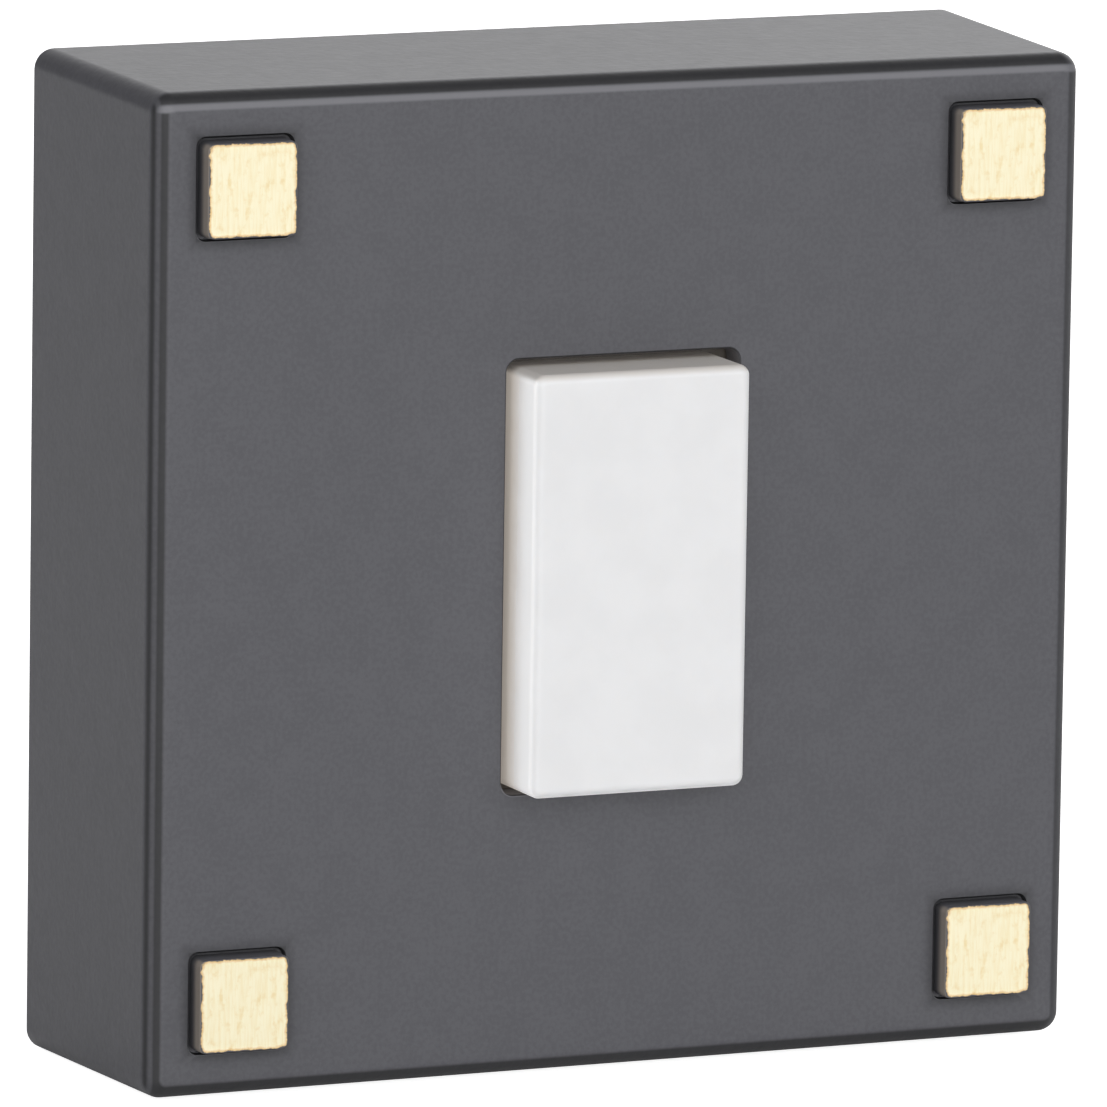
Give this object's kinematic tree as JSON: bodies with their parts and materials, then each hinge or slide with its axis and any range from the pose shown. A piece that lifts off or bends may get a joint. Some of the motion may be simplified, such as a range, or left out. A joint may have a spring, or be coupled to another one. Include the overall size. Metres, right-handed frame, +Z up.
{
  "type": "surface-mount push button",
  "caption": "Square surface-mount push button: charcoal die-cast housing, brushed brass corner studs and a translucent white illuminated cap that springs back when pressed",
  "frame": {"origin": "centre of the wall face, on the rear of the back plate", "axes": "+Z up, +Y into the wall so the button faces -Y, +X to the right of the person who presses it"},
  "size_m": [0.0634, 0.023, 0.0634],
  "materials": {
    "charcoal_paint": "satin powder paint with a fine orange-peel grain",
    "brushed_brass": "satin, brushed in one direction, sides painted with the housing",
    "black_plastic": "fine moulded texture",
    "base_plastic": "smooth moulded",
    "circuit_board": "solder mask",
    "led_resin": "clear moulded resin",
    "resistor_body": "lacquered ceramic",
    "diode_body": "glass-like lacquer",
    "contact_bronze": "bright",
    "terminal_brass": "bright",
    "zinc_steel": "zinc plated",
    "spring_steel": "drawn wire",
    "translucent_white": "satin translucent moulding"
  },
  "bodies": {
    "root": {"back_plate": "black_plastic", "base_screw_bottom_left": "zinc_steel", "base_screw_bottom_right": "zinc_steel", "base_screw_top_left": "zinc_steel", "base_screw_top_right": "zinc_steel", "circuit_board": "circuit_board", "corner_stud_bottom_left": "brushed_brass", "corner_stud_bottom_right": "brushed_brass", "corner_stud_top_left": "brushed_brass", "corner_stud_top_right": "brushed_brass", "fixed_contact_left": "contact_bronze", "fixed_contact_right": "contact_bronze", "housing": "charcoal_paint", "housing_screw": "zinc_steel", "led_lamp": "led_resin", "led_resistor": "resistor_body", "rectifier_diode": "diode_body", "return_spring_lower": "spring_steel", "return_spring_upper": "spring_steel", "switch_base": "base_plastic", "terminal_plate_lower": "terminal_brass", "terminal_plate_upper": "terminal_brass", "terminal_screw_lower": "zinc_steel", "terminal_screw_upper": "zinc_steel"},
    "button": {"button_cap": "translucent_white", "contact_bridge": "contact_bronze", "contact_spring": "spring_steel"}
  },
  "joints": [
    {"name": "button_press", "type": "slide", "parent": "root", "child": "button", "axis": [0, 1, 0], "range_m": [0, 0.0015], "stiffness_N_per_m": 1000, "springref_m": -0.0012, "deforming": ["return_spring_upper", "return_spring_lower"]}
  ]
}
